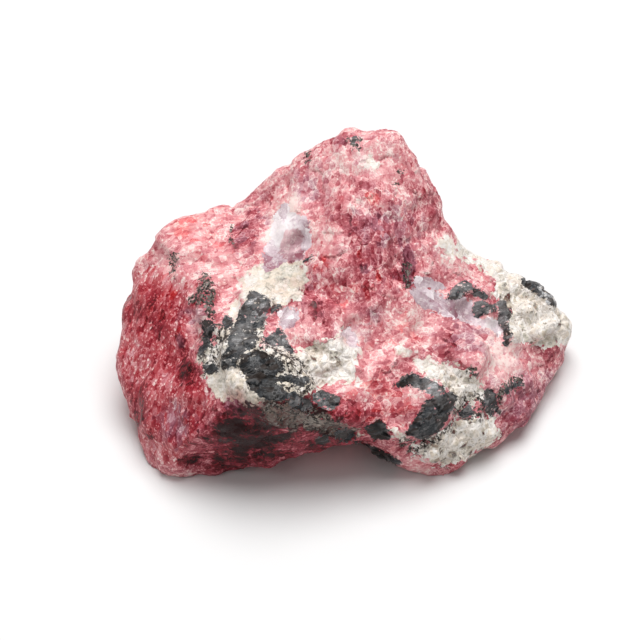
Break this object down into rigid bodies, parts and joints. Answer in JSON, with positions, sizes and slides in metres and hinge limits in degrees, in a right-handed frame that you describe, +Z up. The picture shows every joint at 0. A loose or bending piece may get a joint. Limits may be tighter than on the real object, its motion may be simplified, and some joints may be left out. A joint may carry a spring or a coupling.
{
  "type": "rough rhodonite",
  "caption": "Rough lump of pink rhodonite rock with a tall crest, a broken undercut front, grey-white quartz and raised blocks of black ore.",
  "frame": {"origin": "on the table, under the middle of the stone's bounding box", "axes": "+Z up as the stone rests, +X along its longest extent to the quartz end, +Y to the back, where the crest stands"},
  "size_m": [0.088, 0.0608, 0.0465],
  "materials": {
    "rock": "rough, freshly broken, with small shiny cleavage faces"
  },
  "bodies": {
    "root": {"rhodonite": "rock"}
  },
  "joints": []
}
